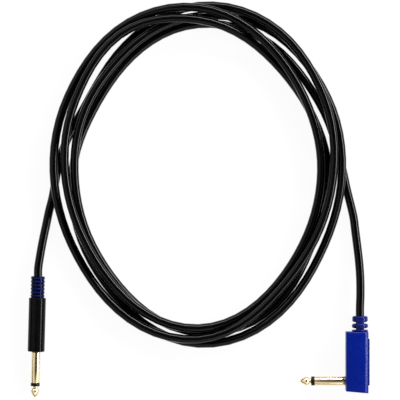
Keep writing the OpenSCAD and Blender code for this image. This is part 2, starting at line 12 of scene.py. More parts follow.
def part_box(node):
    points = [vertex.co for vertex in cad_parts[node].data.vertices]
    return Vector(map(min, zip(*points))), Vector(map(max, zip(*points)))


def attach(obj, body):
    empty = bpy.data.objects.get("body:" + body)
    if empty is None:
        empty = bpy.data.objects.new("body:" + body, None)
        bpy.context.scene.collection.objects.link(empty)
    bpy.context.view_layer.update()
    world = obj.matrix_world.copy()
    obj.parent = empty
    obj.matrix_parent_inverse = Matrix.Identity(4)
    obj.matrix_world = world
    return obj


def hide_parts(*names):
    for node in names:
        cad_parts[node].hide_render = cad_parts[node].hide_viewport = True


bl_info = {
    "name": "Instrument Cable",
    "version": (1, 0, 0),
    "blender": (4, 5, 0),
    "location": "View3D > Sidebar > Cable",
    "description": "Builds the visible pieces of a coiled instrument cable round its packed solids",
    "category": "Object",
}

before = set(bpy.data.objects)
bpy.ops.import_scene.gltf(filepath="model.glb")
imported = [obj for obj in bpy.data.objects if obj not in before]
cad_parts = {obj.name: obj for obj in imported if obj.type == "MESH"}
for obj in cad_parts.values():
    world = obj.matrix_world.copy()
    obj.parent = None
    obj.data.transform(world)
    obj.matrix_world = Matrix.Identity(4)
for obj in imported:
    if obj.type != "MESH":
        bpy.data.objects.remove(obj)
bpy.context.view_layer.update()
BODY = "root"
MM = 0.001


# ---- Places -------------------------------------------------------------------------------------


def low(node):
    """A node's lowest corner."""
    return Vector(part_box(node)[0])


def high(node):
    """A node's highest corner."""
    return Vector(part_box(node)[1])


def size(node):
    """A node's box, along X, Y and Z."""
    return high(node) - low(node)


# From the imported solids' boxes. Both plugs have the same prong.
RING_W = size("angle_tip_ring").x
TIP_L = size("angle_tip").x
ANGLE_FACE = Vector((low("angle_housing").x, 0, 0))
ANGLE_AXIS_Y = (low("angle_tip_ring").y + high("angle_tip_ring").y) / 2
ANGLE_AXIS_Z = (low("angle_tip_ring").z + high("angle_tip_ring").z) / 2
SLEEVE_L = ANGLE_FACE.x - high("angle_tip_ring").x
BARREL_R = size("straight_barrel").z / 2
BOOT_R = size("straight_boot").z / 2

# The source's own values, for what the boxes don't give. The straight plug is tilted, so its boxes
# don't give its lengths. A mouth is where the cable goes into a plug, on the cable's centreline.
PLUG_TILT = math.radians(1.5)
PRONG_R = 6.35 * MM / 2
BARREL_L = 37.8 * MM
BOOT_L = 15 * MM
STRAIGHT_MOUTH = Vector((-112.3, 42.3, 5.95)) * MM
ANGLE_MOUTH = Vector((113, 14.6, 7)) * MM


# ---- The cable's route, as the solids have it ---------------------------------------------------

CABLE_D = 6 * MM
CABLE_R = CABLE_D / 2
COIL_CENTRE = Vector((-0.2, 115.5)) * MM

# The oval's mean radius in millimetres, and how much its terms make it longer along Y, squarer,
# three-sided and lower.
COIL_R = 101.5
COIL_LONG = 9
COIL_SQUARE = 2
COIL_THREE = 1
COIL_LOW = 1.5

# The coil runs clockwise from 270 degrees for four and a half turns, with a station every 30
# degrees. TURN_OUT is how far the strand lies outside the oval there, and TURN_UP how far above the
# surface, both in millimetres. The first and last values only set the slope at the coil's ends.
STATION_STEP = 30
FIRST_ANGLE = 270
TURN_OUT = [
    14,
    4.5, -4.5, -1.5, 6, 9.5, 5.5, 0, -1.5, -3.5, 2, 5.5, 6.5,
    6.5, 9, 10.5, 4.5, -3, -7, -8.5, -7.5, -7.5, -5.5, -4.5, -3,
    -1.5, 3, 6.5, -4, -8.5, -7, -3.5, -2, 2, -2.5, -6.5, -6.5,
    -8, -6, -5.5, -1, 7, 8, 6, 6.5, 7.5, 5.5, 0.5, -1,
    -6.5, -11, -10.5, -6.5, -1, 1.5, 7,
    26,
]
TURN_UP = [
    0,
    0, 0, 0, 3.5, 8, 11, 10, 7, 7, 7.5, 5.5, 3,
    7, 1, 1.5, 11, 8, 7, 5.5, 3.5, 0, 6.5, 6.5, 9.5,
    9, 6.5, 7, 12, 2.5, 0, 0, 0, 0, 0, 0, 4,
    6.5, 9, 7, 3.5, 0, 4, 7, 0, 4.5, 0, 0, 0,
    0, 0, 0, 0, 0, 0, 0,
    0,
]
LAST_ANGLE = FIRST_ANGLE + STATION_STEP * (len(TURN_OUT) - 3)
STRAIGHT_LEAD_POINTS = [(-110.7, 58, 4.8), (-108.9, 68, 3.6), (-106.8, 78, 3), (-104.7, 88, 3)]
ANGLE_LEAD_POINTS = [
    (108.4, 85, 3), (109.9, 74, 3.2), (111.3, 63, 4),
    (112.5, 52, 5.2), (113.2, 41, 6.4), (113.3, 30, 7),
]
STRAIGHT_END_L = 12 * MM
ANGLE_END_L = 8 * MM
STRAIGHT_DIR = Vector((math.sin(PLUG_TILT), math.cos(PLUG_TILT), 0))
ANGLE_DIR = Vector((0, 1, 0))

# The hollow that the cable goes into, in the boot and in the strain relief.
MOUTH_R = CABLE_R + 0.05 * MM
MOUTH_L = 2 * MM


def spline(p0, p1, p2, p3, t):
    """A smooth value between p1 and p2, at t from 0 to 1."""
    return 0.5 * (
        2 * p1
        + (p2 - p0) * t
        + (2 * p0 - 5 * p1 + 4 * p2 - p3) * t * t
        + (3 * p1 - p0 - 3 * p2 + p3) * t * t * t
    )


def at_station(values, angle):
    """The stations' value at an angle in degrees, counted on from turn to turn."""
    place = (angle - FIRST_ANGLE) / STATION_STEP + 1
    i = min(math.floor(place), len(values) - 3)
    return spline(values[i - 1], values[i], values[i + 1], values[i + 2], place - i)


def oval(a):
    """The coil's mean radius in millimetres, at an angle in radians clockwise from +Y."""
    return (
        COIL_R
        + COIL_LONG * math.cos(2 * a)
        + COIL_SQUARE * math.cos(4 * a)
        - COIL_THREE * math.cos(3 * a)
        - COIL_LOW * math.cos(a)
    )


def coil_point(angle):
    """The cable's centre in the coil, at an angle in degrees."""
    a = math.radians(angle)
    r = (oval(a) + at_station(TURN_OUT, angle)) * MM
    up = max(0, at_station(TURN_UP, angle)) * MM
    return Vector((COIL_CENTRE.x + r * math.sin(a), COIL_CENTRE.y + r * math.cos(a), CABLE_R + up))


def level(v):
    """A direction without its height."""
    return Vector((v.x, v.y, 0)).normalized()


def smooth_through(points, steps):
    """Points on one smooth curve through the given ones, with steps stretches between each two."""
    ends = [2 * points[0] - points[1]] + points + [2 * points[-1] - points[-2]]
    made = []
    for i in range(1, len(points)):
        for k in range(steps):
            made.append(spline(ends[i - 1], ends[i], ends[i + 1], ends[i + 2], k / steps))
    return made + [points[-1]]


def cable_route(points_per_turn, steps_per_lead_point):
    """The whole cable's centreline, from the straight plug's boot to the strain relief."""
    step = 360 / points_per_turn
    count = round((LAST_ANGLE - FIRST_ANGLE) / step)
    coil = [coil_point(FIRST_ANGLE + i * step) for i in range(count + 1)]
    nudge = 0.5  # degrees, for the direction at the coil's two ends
    start_dir = level(coil_point(FIRST_ANGLE + nudge) - coil_point(FIRST_ANGLE))
    end_dir = level(coil_point(LAST_ANGLE) - coil_point(LAST_ANGLE - nudge))
    start = coil[0] - CABLE_D * start_dir
    end = coil[-1] + CABLE_D * end_dir
    first = (
        [STRAIGHT_MOUTH, STRAIGHT_MOUTH + CABLE_D * STRAIGHT_DIR]
        + [Vector(p) * MM for p in STRAIGHT_LEAD_POINTS]
        + [start - STRAIGHT_END_L * start_dir, start]
    )
    last = (
        [end, end + ANGLE_END_L * end_dir]
        + [Vector(p) * MM for p in ANGLE_LEAD_POINTS]
        + [ANGLE_MOUTH + CABLE_D * ANGLE_DIR, ANGLE_MOUTH]
    )
    return (
        smooth_through(first, steps_per_lead_point)
        + coil
        + smooth_through(last, steps_per_lead_point)
    )


# ---- Settings -----------------------------------------------------------------------------------


def colour(name, description, default):
    """A colour setting."""
    return bpy.props.FloatVectorProperty(
        name=name, description=description, subtype="COLOR", size=3, min=0, max=1, default=default
    )


def distance(name, description, default):
    """A length setting, in metres."""
    return bpy.props.FloatProperty(
        name=name,
        description=description,
        default=default,
        min=0,
        subtype="DISTANCE",
        unit="LENGTH",
    )


def share(name, description, default, most=1.0):
    """A plain number setting, from 0 to most."""
    return bpy.props.FloatProperty(
        name=name, description=description, default=default, min=0, max=most
    )


class CableSettings(bpy.types.PropertyGroup):
    """The cable's jacket."""

    sides: bpy.props.IntProperty(
        name="Sides", description="Sides of a quarter of the cable's tube", default=5, min=2, max=12
    )
    points_per_turn: bpy.props.IntProperty(
        name="Points a turn", description="Points of the route in one turn", default=72, min=24
    )
    jacket_colour: colour("Jacket", "Colour of the jacket", (0.0008, 0.0008, 0.001))
    jacket_roughness: share("Jacket roughness", "How dull the jacket is", 0.06)


class PlugSettings(bpy.types.PropertyGroup):
    """Both plugs."""

    edge: distance("Edge", "Rounding of the housing's edges", 0.4 * MM)
    fine_edge: distance("Fine edge", "Rounding of small edges", 0.15 * MM)
    sides: bpy.props.IntProperty(
        name="Sides", description="Sides of a turned piece", default=96, min=24
    )
    gold: colour("Gold", "Colour of the plated prongs", (0.95, 0.77, 0.44))
    gold_roughness: share("Gold roughness", "How dull the plating is", 0.22)
    barrel: colour("Barrel", "Colour of the barrel and the side plate", (0.0015, 0.0015, 0.0018))
    insulator: colour("Insulator", "Colour of the insulating rings", (0.004, 0.003, 0.003))
    boot: colour("Boot", "Colour of the straight plug's boot", (0.0004, 0.001, 0.016))
    # A painted highlight: the paler blue that is painted on the tops of the boot's ribs, where they
    # catch the light.
    boot_rib_highlight: colour("Boot ribs", "Colour of the tops of the boot's ribs", (0.004, 0.0065, 0.06))
    housing: colour("Housing", "Colour of the right-angle plug's housing", (0.0003, 0.0084, 0.168))
    relief: colour("Strain relief", "Colour of the strain relief", (0.0015, 0.006, 0.1))


class StageSettings(bpy.types.PropertyGroup):
    """The floor, the light and the camera."""

    floor: colour("Floor", "Colour of the floor", (0.9, 0.9, 0.9))
    view_width: distance("View width", "Width of the view at the plugs' height", 280 * MM)
    camera_height: distance("Camera height", "Height of the camera over the surface", 2.2)
    view_x: bpy.props.FloatProperty(
        name="View X", description="Middle of the view", default=1.07 * MM, unit="LENGTH"
    )
    view_y: bpy.props.FloatProperty(
        name="View Y", description="Middle of the view", default=95.7 * MM, unit="LENGTH"
    )
    band: share("Wall light", "Strength of the tent's bright wall", 30.0, 60)
    overhead: share("Overhead light", "Strength of the light from straight above", 0.03, 4)
    side: share("Side light", "Strength of the light between the wall and overhead", 0.72, 4)
    glow: share("Floor glow", "How much of the floor's shade is left out in the view", 0.94)


def settings():
    """The three groups of settings."""
    scene = bpy.context.scene
    return scene.cable_settings, scene.plug_settings, scene.stage_settings


# ---- Materials ----------------------------------------------------------------------------------


class Finish:
    """A new material with one shader, and short calls for the patterns on it."""

    def __init__(self, name, base, roughness, metallic=0.0):
        self.material = bpy.data.materials.new(name)
        self.material.use_nodes = True
        self.nodes = self.material.node_tree.nodes
        self.links = self.material.node_tree.links
        self.shader = self.nodes["Principled BSDF"]
        self.base = base
        self.roughness = roughness
        self.set("Base Color", (*base, 1))
        self.set("Metallic", metallic)
        self.set("Roughness", roughness)
        self.place = self.nodes.new("ShaderNodeTexCoord").outputs["Object"]

    def set(self, socket, value):
        """Sets one of the shader's own sockets."""
        self.shader.inputs[socket].default_value = value

    def noise(self, scale, detail=2.0, finer=None, turn=0.0):
        """A noise over the piece. It can be so many times finer along X, Y and Z, and turned."""
        place = self.place
        if finer:
            mapping = self.nodes.new("ShaderNodeMapping")
            mapping.inputs["Scale"].default_value = finer
            mapping.inputs["Rotation"].default_value = (0, 0, turn)
            self.links.new(place, mapping.inputs["Vector"])
            place = mapping.outputs["Vector"]
        noise = self.nodes.new("ShaderNodeTexNoise")
        noise.inputs["Scale"].default_value = scale
        noise.inputs["Detail"].default_value = detail
        self.links.new(place, noise.inputs["Vector"])
        return noise.outputs["Fac"]

    def between(self, value, lowest, highest, start=0.3, end=0.7):
        """A pattern's values spread between lowest and highest."""
        spread = self.nodes.new("ShaderNodeMapRange")
        spread.inputs["From Min"].default_value = start
        spread.inputs["From Max"].default_value = end
        spread.inputs["To Min"].default_value = lowest
        spread.inputs["To Max"].default_value = highest
        self.links.new(value, spread.inputs["Value"])
        return spread.outputs["Result"]

    def radius(self, centre, turn):
        """How far a point is from a level axis through centre, turned from +Y round +Z."""
        endless = 100000  # flattens the distance along the axis to nothing
        mapping = self.nodes.new("ShaderNodeMapping")
        mapping.vector_type = "TEXTURE"
        mapping.inputs["Location"].default_value = centre
        mapping.inputs["Rotation"].default_value = (0, 0, turn)
        mapping.inputs["Scale"].default_value = (1, endless, 1)
        self.links.new(self.place, mapping.inputs["Vector"])
        length = self.nodes.new("ShaderNodeVectorMath")
        length.operation = "LENGTH"
        self.links.new(mapping.outputs["Vector"], length.inputs[0])
        return length.outputs["Value"]

    def vary_roughness(self, value, by):
        """Makes the gloss uneven by a share of itself."""
        uneven = self.between(value, self.roughness * (1 - by), self.roughness * (1 + by))
        self.links.new(uneven, self.shader.inputs["Roughness"])

    def vary_colour(self, value, lightest, start=0.35, end=0.75):
        """Lightens the colour towards lightest where the pattern is high."""
        mix = self.nodes.new("ShaderNodeMix")
        mix.data_type = "RGBA"
        mix.inputs["A"].default_value = (*self.base, 1)
        mix.inputs["B"].default_value = (*lightest, 1)
        self.links.new(self.between(value, 0, 1, start, end), mix.inputs["Factor"])
        self.links.new(mix.outputs["Result"], self.shader.inputs["Base Color"])

    def bump(self, value, depth, strength=1.0):
        """Raises the surface by depth metres where the pattern is high."""
        bump = self.nodes.new("ShaderNodeBump")
        bump.inputs["Distance"].default_value = depth
        bump.inputs["Strength"].default_value = strength
        self.links.new(value, bump.inputs["Height"])
        self.links.new(bump.outputs["Normal"], self.shader.inputs["Normal"])


def maths(tree, kind, a, b):
    """The output of a maths node on two values, each of them a number or a socket."""
    made = tree.nodes.new("ShaderNodeMath")
    made.operation = kind
    for socket, value in zip(made.inputs, (a, b)):
        if isinstance(value, (int, float)):
            socket.default_value = value
        else:
            tree.links.new(value, socket)
    return made.outputs[0]


def lighter(base, by):
    """A colour moved towards white."""
    return tuple(v + (1 - v) * by for v in base)


def jacket_finish():
    """Glossy black vinyl, with the faint waves of an extruded jacket."""
    cable, _, _ = settings()
    finish = Finish("jacket_vinyl", cable.jacket_colour, cable.jacket_roughness)
    finish.vary_colour(finish.noise(scale=60, detail=3), lighter(cable.jacket_colour, 0.0015))
    finish.vary_roughness(finish.noise(scale=220, detail=4), by=0.25)
    finish.bump(finish.noise(scale=350, detail=2), depth=0.06 * MM, strength=0.5)
    finish.set("Specular IOR Level", 0.2)
    return finish.material


def gold_finish(name, turn):
    """Pale gold plate, with fine turning marks round the prong's axis and an uneven tone."""
    _, plug, _ = settings()
    finish = Finish(name, plug.gold, plug.gold_roughness, metallic=0.98)
    marks = finish.noise(scale=40, detail=3, finer=(60, 1, 1), turn=turn)
    finish.vary_roughness(finish.noise(scale=120, detail=2), by=0.08)
    finish.vary_colour(finish.noise(scale=90, detail=3), lighter(plug.gold, 0.12))
    finish.bump(marks, depth=0.02 * MM, strength=0.03)
    return finish.material


def insulator_finish():
    """Moulded black insulator."""
    _, plug, _ = settings()
    finish = Finish("insulator_nylon", plug.insulator, 0.4)
    finish.set("Specular IOR Level", 0.2)
    finish.vary_roughness(finish.noise(scale=900, detail=3), by=0.2)
    finish.bump(finish.noise(scale=1500, detail=2), depth=0.02 * MM, strength=0.4)
    return finish.material


def barrel_finish():
    """Satin black barrel, with a fine grain."""
    _, plug, _ = settings()
    finish = Finish("barrel_satin_black", plug.barrel, 0.18)
    finish.set("Specular IOR Level", 0.08)
    finish.vary_colour(finish.noise(scale=160, detail=4), lighter(plug.barrel, 0.002))
    finish.vary_roughness(finish.noise(scale=260, detail=4), by=0.2)
    finish.bump(finish.noise(scale=1800, detail=3), depth=0.03 * MM, strength=0.12)
    return finish.material


def boot_finish():
    """The boot's dark blue vinyl, with a painted highlight that makes the tops of the ribs paler.
    """
    _, plug, _ = settings()
    finish = Finish("boot_blue_vinyl", plug.boot, 0.2)
    finish.set("Specular IOR Level", 0.07)
    # Painted highlight: the colour turns paler from just under the ribs' tops out to the tops, by
    # distance from the boot's axis.
    height = finish.radius(STRAIGHT_MOUTH, -PLUG_TILT)
    rib_highlight_from, rib_highlight_full = BOOT_R - 0.25 * MM, BOOT_R - 0.05 * MM
    finish.vary_colour(height, plug.boot_rib_highlight, rib_highlight_from, rib_highlight_full)
    finish.vary_roughness(finish.noise(scale=500, detail=3), by=0.2)
    finish.bump(finish.noise(scale=1200, detail=3), depth=0.04 * MM, strength=0.2)
    return finish.material


def housing_finish():
    """The housing's royal blue moulding."""
    _, plug, _ = settings()
    finish = Finish("housing_blue_moulding", plug.housing, 0.3)
    finish.set("Specular IOR Level", 0.15)
    finish.vary_colour(finish.noise(scale=70, detail=3), lighter(plug.housing, 0.002))
    finish.vary_roughness(finish.noise(scale=300, detail=4), by=0.2)
    finish.bump(finish.noise(scale=900, detail=3), depth=0.03 * MM, strength=0.2)
    return finish.material


def relief_finish():
    """The strain relief's softer and darker blue rubber."""
    _, plug, _ = settings()
    finish = Finish("relief_blue_rubber", plug.relief, 0.2)
    finish.set("Specular IOR Level", 0.15)
    finish.vary_colour(finish.noise(scale=180, detail=3), lighter(plug.relief, 0.003))
    finish.vary_roughness(finish.noise(scale=500, detail=3), by=0.2)
    finish.bump(finish.noise(scale=1200, detail=3), depth=0.04 * MM, strength=0.2)
    return finish.material


def plain_finish(name, base, roughness, metallic=0.0):
    """A finish for the pieces inside the plugs."""
    finish = Finish(name, base, roughness, metallic)
    finish.vary_roughness(finish.noise(scale=600, detail=3), by=0.25)
    finish.vary_colour(finish.noise(scale=300, detail=3), lighter(base, 0.08))
    finish.bump(finish.noise(scale=1400, detail=2), depth=0.02 * MM, strength=0.4)
    return finish.material


# ---- Modelling ----------------------------------------------------------------------------------


def deselect():
    """Leaves nothing selected and no object active."""
    bpy.ops.object.select_all(action="DESELECT")
    bpy.context.view_layer.objects.active = None


def only(obj):
    """Selects one object alone."""
    deselect()
    obj.select_set(True)
    bpy.context.view_layer.objects.active = obj


def name_new(name):
    """Names the object that was just added."""
    obj = bpy.context.object
    obj.name = name
    obj.data.name = name
    return obj


def apply_place(obj):
    """Puts the object's place into its mesh."""
    only(obj)
    bpy.ops.object.transform_apply(location=True, rotation=True, scale=True)


def move_to(obj, place):
    """Moves a finished piece by a matrix, with its place in its mesh."""
    obj.matrix_world = place
    bpy.context.view_layer.update()
    apply_place(obj)


def bevel(obj, width, segments=3, angle=35):
    """Rounds the sharp edges with a modifier and applies it."""
    only(obj)
    modifier = obj.modifiers.new("edges", "BEVEL")
    modifier.width = width
    modifier.segments = segments
    modifier.limit_method = "ANGLE"
    modifier.angle_limit = math.radians(angle)
    modifier.use_clamp_overlap = True
    bpy.ops.object.modifier_apply(modifier=modifier.name)


def smooth(obj, angle=35):
    """Smooths what isn't a sharp edge."""
    only(obj)
    bpy.ops.object.shade_smooth_by_angle(angle=math.radians(angle))


def turned(name, outline, sides):
    """A closed solid turned round +Z. Each (radius, height) is a ring, extruded from the last."""
    deselect()
    radius, height = outline[0]
    bpy.ops.mesh.primitive_circle_add(
        vertices=sides, radius=radius, fill_type="NGON", location=(0, 0, height)
    )
    obj = name_new(name)
    apply_place(obj)
    bpy.ops.object.mode_set(mode="EDIT")
    bpy.ops.mesh.select_all(action="SELECT")
    for (r0, z0), (r1, z1) in zip(outline, outline[1:]):
        bpy.ops.mesh.extrude_region_move(TRANSFORM_OT_translate={"value": (0, 0, z1 - z0)})
        bpy.ops.transform.resize(value=(r1 / r0, r1 / r0, 1), center_override=(0, 0, z1))
    bpy.ops.mesh.select_all(action="SELECT")
    bpy.ops.mesh.normals_make_consistent(inside=False)
    bpy.ops.object.mode_set(mode="OBJECT")
    return obj


def block(name, corner, other):
    """A block between two corners."""
    deselect()
    middle = (corner + other) / 2
    bpy.ops.mesh.primitive_cube_add(size=1, location=middle, scale=other - corner)
    obj = name_new(name)
    apply_place(obj)
    return obj


def cut_off(obj, point, outwards):
    """Cuts off what lies beyond a plane and closes the cut."""
    only(obj)
    bpy.ops.object.mode_set(mode="EDIT")
    bpy.ops.mesh.select_all(action="SELECT")
    bpy.ops.mesh.bisect(plane_co=point, plane_no=outwards, use_fill=True, clear_outer=True)
    bpy.ops.object.mode_set(mode="OBJECT")


def finish_piece(obj, material, nodes):
    """Gives a piece its material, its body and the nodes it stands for."""
    obj.data.materials.clear()
    obj.data.materials.append(material)
    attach(obj, BODY)
    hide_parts(*nodes)


def straight_place(along):
    """Where a piece of the straight plug goes, its +Z to the tip, along metres from the mouth."""
    turn = Matrix.Rotation(-PLUG_TILT, 4, "Z") @ Matrix.Rotation(math.radians(90), 4, "X")
    return Matrix.Translation(STRAIGHT_MOUTH - STRAIGHT_DIR * along) @ turn


def angle_prong_place():
    """Where the right-angle plug's prong goes, its +Z to the tip, from the housing's face."""
    origin = Vector((ANGLE_FACE.x, ANGLE_AXIS_Y, ANGLE_AXIS_Z))
    return Matrix.Translation(origin) @ Matrix.Rotation(math.radians(-90), 4, "Y")


def arc(centre_r, centre_z, radius, start, end, count=4):
    """Points of an outline on an arc. 0 degrees points outwards and 90 towards +Z."""
    made = []
    for i in range(count + 1):
        a = math.radians(start + (end - start) * i / count)
        made.append((centre_r + radius * math.cos(a), centre_z + radius * math.sin(a)))
    return made


# ---- Pieces -------------------------------------------------------------------------------------


class CABLE_OT_stage(bpy.types.Operator):
    """Adds the floor, the light and the camera."""

    bl_idname = "cable.stage"
    bl_label = "Floor, light and camera"

    def execute(self, context):
        _, _, stage = settings()
        context.scene.view_settings.view_transform = "Standard"
        floor_w = 4
        deselect()
        bpy.ops.mesh.primitive_plane_add(size=floor_w, location=(stage.view_x, stage.view_y, 0))
        floor = name_new("floor")
        floor.data.materials.append(self.floor_paper(stage))
        apply_place(floor)
        self.light_tent(context, stage)
        self.add_camera(context, stage)
        return {"FINISHED"}

    def floor_paper(self, stage):
        """Pale paper that the camera and reflections see nearly white, with the shadows on it."""
        finish = Finish("floor_paper", stage.floor, 0.9)
        finish.vary_roughness(finish.noise(scale=20, detail=2), by=0.05)
        finish.set("Specular IOR Level", 0.1)
        path = finish.nodes.new("ShaderNodeLightPath").outputs
        direct = maths(finish, "MAXIMUM", path["Is Camera Ray"], path["Is Glossy Ray"])
        seen = maths(finish, "MAXIMUM", direct, path["Is Transmission Ray"])
        glow = maths(finish, "MULTIPLY", seen, stage.glow)
        light = finish.nodes.new("ShaderNodeEmission")
        both = finish.nodes.new("ShaderNodeMixShader")
        finish.links.new(glow, both.inputs["Fac"])
        finish.links.new(finish.shader.outputs["BSDF"], both.inputs[1])
        finish.links.new(light.outputs["Emission"], both.inputs[2])
        finish.links.new(both.outputs["Shader"], finish.nodes["Material Output"].inputs["Surface"])
        return finish.material

    def light_tent(self, context, stage):
        """A tent of light: a bright low wall, strongest to the upper right, and a dim roof."""
        world = bpy.data.worlds.new("light_tent")
        context.scene.world = world
        world.use_nodes = True
        nodes = world.node_tree.nodes
        links = world.node_tree.links
        place = nodes.new("ShaderNodeTexCoord")
        split = nodes.new("ShaderNodeSeparateXYZ")
        links.new(place.outputs["Generated"], split.inputs["Vector"])

        def ramp(stops):
            """Strength by the sine of the height angle over the horizon, between the stops."""
            made = nodes.new("ShaderNodeFloatCurve")
            curve = made.mapping.curves[0]
            curve.points[0].location = stops[0]
            curve.points[1].location = stops[-1]
            for stop in stops[1:-1]:
                curve.points.new(*stop)
            made.mapping.update()
            links.new(split.outputs["Z"], made.inputs["Value"])
            return made.outputs[0]

        def worked(kind, a, b):
            return maths(world.node_tree, kind, a, b)

        wall = ramp([(0, 0), (0.33, 0), (0.38, 1), (0.5, 1), (0.55, 0), (1, 0)])
        roof = ramp([(0, 0), (0.34, 0), (0.42, 1), (0.875, 1), (0.96, 0), (1, 0)])
        middle, to_east, to_north, sharpness = 0.56, 0.34, 0.22, 3.3
        east = worked("MULTIPLY", split.outputs["X"], to_east)
        north = worked("MULTIPLY", split.outputs["Y"], to_north)
        towards = worked("ADD", worked("ADD", east, north), middle)
        bright = worked("MULTIPLY", worked("POWER", towards, sharpness), stage.band)
        lit_wall = worked("MULTIPLY", wall, bright)
        lit_roof = worked("ADD", worked("MULTIPLY", roof, stage.side), stage.overhead)
        background = nodes["Background"]
        background.inputs["Color"].default_value = (1, 1, 1, 1)
        links.new(worked("ADD", lit_wall, lit_roof), background.inputs["Strength"])

    def add_camera(self, context, stage):
        """A camera that looks straight down on the cable."""
        deselect()
        bpy.ops.object.camera_add(
            location=(stage.view_x, stage.view_y, stage.camera_height), rotation=(0, 0, 0)
        )
        camera = name_new("camera")
        sensor_w = 36
        view_level = 6 * MM
        camera.data.sensor_width = sensor_w
        camera.data.lens = sensor_w * (stage.camera_height - view_level) / stage.view_width
        camera.data.clip_end = 10
        context.scene.camera = camera


class CABLE_OT_cord(bpy.types.Operator):
    """Lays the cable as one unbroken curve from plug to plug."""

    bl_idname = "cable.cord"
    bl_label = "Cable"

    def execute(self, context):
        cable, _, _ = settings()
        route = cable_route(cable.points_per_turn, steps_per_lead_point=4)
        curve = bpy.data.curves.new("cable", "CURVE")
        curve.dimensions = "3D"
        curve.bevel_depth = CABLE_R
        curve.bevel_resolution = cable.sides
        curve.use_fill_caps = True
        curve.twist_mode = "Z_UP"
        line = curve.splines.new("POLY")
        line.points.add(len(route) - 1)
        for point, place in zip(line.points, route):
            point.co = (*place, 1)
        line.use_smooth = True
        piece = bpy.data.objects.new("cable", curve)
        context.collection.objects.link(piece)
        nodes = ("cable_lead_straight", "cable_coil", "cable_lead_angle")
        finish_piece(piece, jacket_finish(), nodes)
        return {"FINISHED"}


class CABLE_OT_prongs(bpy.types.Operator):
    """Turns the tip, the insulating ring and the sleeve of both prongs."""

    bl_idname = "cable.prongs"
    bl_label = "Prongs"

    def execute(self, context):
        _, plug, _ = settings()
        places = {
            "straight": (straight_place(BARREL_L + BOOT_L), PLUG_TILT + math.radians(90)),
            "angle": (angle_prong_place(), 0.0),
        }
        insulator = insulator_finish()
        for side, (place, turn) in places.items():
            gold = gold_finish(side + "_gold_plate", turn)
            tip = turned(side + "_plug_tip", self.tip_outline(), plug.sides)
            ring = turned(side + "_plug_ring", self.ring_outline(), plug.sides)
            sleeve = turned(side + "_plug_sleeve", self.sleeve_outline(), plug.sides)
            pieces = (
                (tip, gold, "_tip", "gold_plate"),
                (ring, insulator, "_tip_ring", "black_insulator"),
                (sleeve, gold, "_sleeve", "gold_plate"),
            )
            for piece, material, node, slot in pieces:
                bevel(piece, plug.fine_edge, segments=2)
                move_to(piece, place)
                smooth(piece)
                finish_piece(piece, material, [side + node])
        return {"FINISHED"}

    def tip_outline(self):
        """The neck, the swelling behind the crown and the rounded nose."""
        base = SLEEVE_L + RING_W
        neck_r = 1.7 * MM
        crown_r = 3.1 * MM
        point_r = 0.15 * MM
        neck_l = 1.5 * MM
        crown_l = neck_l + (TIP_L - neck_l) / 3
        round_share = 0.55
        cone_share = 0.45
        made = [(neck_r, base)]
        for a in range(0, 91, 15):
            swell = math.sin(math.radians(a))
            drop = 1 - math.cos(math.radians(a))
            z = base + neck_l + (crown_l - neck_l) * drop
            made.append((neck_r + (crown_r - neck_r) * swell, z))
        for a in range(10, 90, 10):
            c = math.cos(math.radians(a))
            s = math.sin(math.radians(a))
            r = crown_r * (round_share * c + cone_share * (1 - s))
            made.append((r, base + crown_l + (TIP_L - crown_l) * s))
        made.append((point_r, base + TIP_L))
        return made

    def ring_outline(self):
        """The black ring between the sleeve and the tip."""
        return [(PRONG_R, SLEEVE_L), (PRONG_R, SLEEVE_L + RING_W)]

    def sleeve_outline(self):
        """The sleeve, up to the ring, with a thinner shank that sits in the body."""
        shank_r = 3.0 * MM
        hidden = 2.0 * MM
        step = 0.0001 * MM  # the shoulder is level but for this
        return [(shank_r, -hidden), (shank_r, 0), (PRONG_R, step), (PRONG_R, SLEEVE_L)]


class CABLE_OT_barrel(bpy.types.Operator):
    """Turns the straight plug's barrel."""

    bl_idname = "cable.barrel"
    bl_label = "Barrel"

    def execute(self, context):
        _, plug, _ = settings()
        corner = 0.8 * MM
        chamfer = 0.4 * MM
        mouth_r = 3.1 * MM
        recess = 0.6 * MM
        outline = [(BARREL_R - chamfer, 0), (BARREL_R, chamfer)]
        outline += arc(BARREL_R - corner, BARREL_L - corner, corner, 0, 90)
        outline += [(mouth_r, BARREL_L), (mouth_r, BARREL_L - recess)]
        barrel = turned("straight_plug_barrel", outline, plug.sides)
        bevel(barrel, plug.fine_edge, segments=2)
        move_to(barrel, straight_place(BOOT_L))
        smooth(barrel)
        finish_piece(barrel, barrel_finish(), ["straight_barrel"])
        return {"FINISHED"}


class CABLE_OT_boot(bpy.types.Operator):
    """Turns the straight plug's grooved boot."""

    bl_idname = "cable.boot"
    bl_label = "Boot"

    def execute(self, context):
        _, plug, _ = settings()
        grooves = 5
        groove_w = 1.2 * MM
        groove_depth = 0.4 * MM
        pitch = BOOT_L / (grooves + 1)
        rib_w = pitch - groove_w
        swell_r = (rib_w * rib_w / 4 + groove_depth * groove_depth) / (2 * groove_depth)
        spread = math.degrees(math.asin(rib_w / 2 / swell_r))
        outline = [(MOUTH_R, MOUTH_L), (MOUTH_R, 0), (BOOT_R - groove_depth, 0)]
        for i in range(grooves + 1):
            middle = (i + 0.5) * pitch
            outline += arc(BOOT_R - swell_r, middle, swell_r, -spread, spread, count=8)
        outline.append((BOOT_R - groove_depth, BOOT_L))
        boot = turned("straight_plug_boot", outline, plug.sides)
        move_to(boot, straight_place(0))
        smooth(boot, angle=40)
        finish_piece(boot, boot_finish(), ["straight_boot"])
        return {"FINISHED"}


